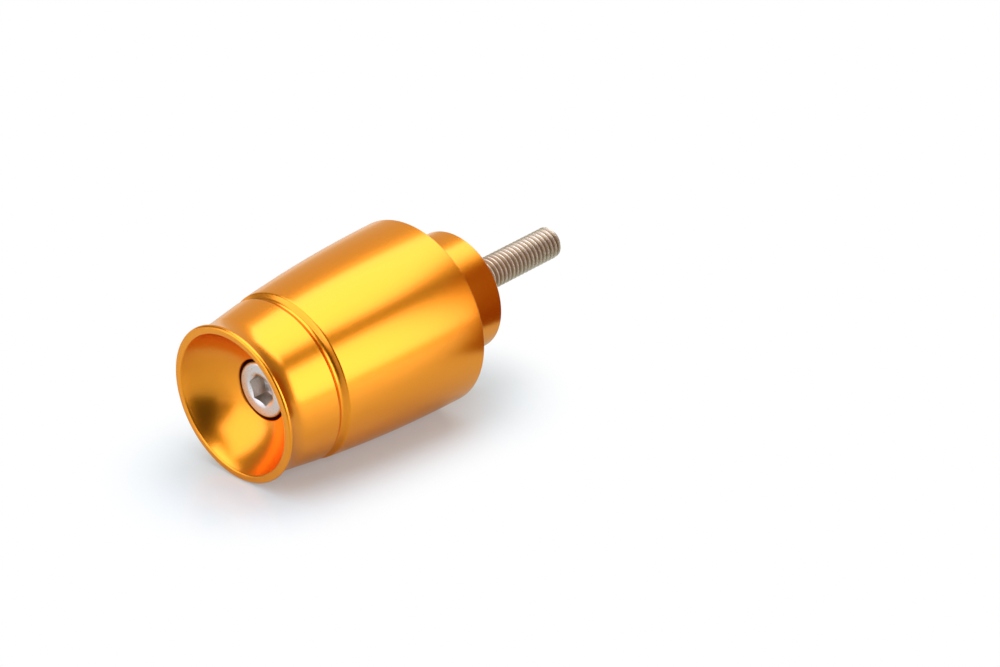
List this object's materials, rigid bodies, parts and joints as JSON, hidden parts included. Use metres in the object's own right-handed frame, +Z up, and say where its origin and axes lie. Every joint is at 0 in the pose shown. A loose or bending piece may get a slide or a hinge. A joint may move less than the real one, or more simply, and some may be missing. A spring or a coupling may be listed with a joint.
{
  "type": "bar end weight",
  "caption": "Turned handlebar end weight with a flared rim, dished end, groove and spigot, held by a long socket head screw.",
  "frame": {"origin": "centre of the shoulder, where the spigot meets the barrel", "axes": "+X along the axis, from the dish towards the handlebar; +Z up"},
  "size_m": [0.0774, 0.034, 0.034],
  "materials": {
    "anodised_aluminium": "satin gold anodised, finely turned",
    "stainless_steel": "plain bright stainless steel"
  },
  "bodies": {
    "root": {"weight_body": "anodised_aluminium", "cap_screw": "stainless_steel"}
  },
  "joints": []
}
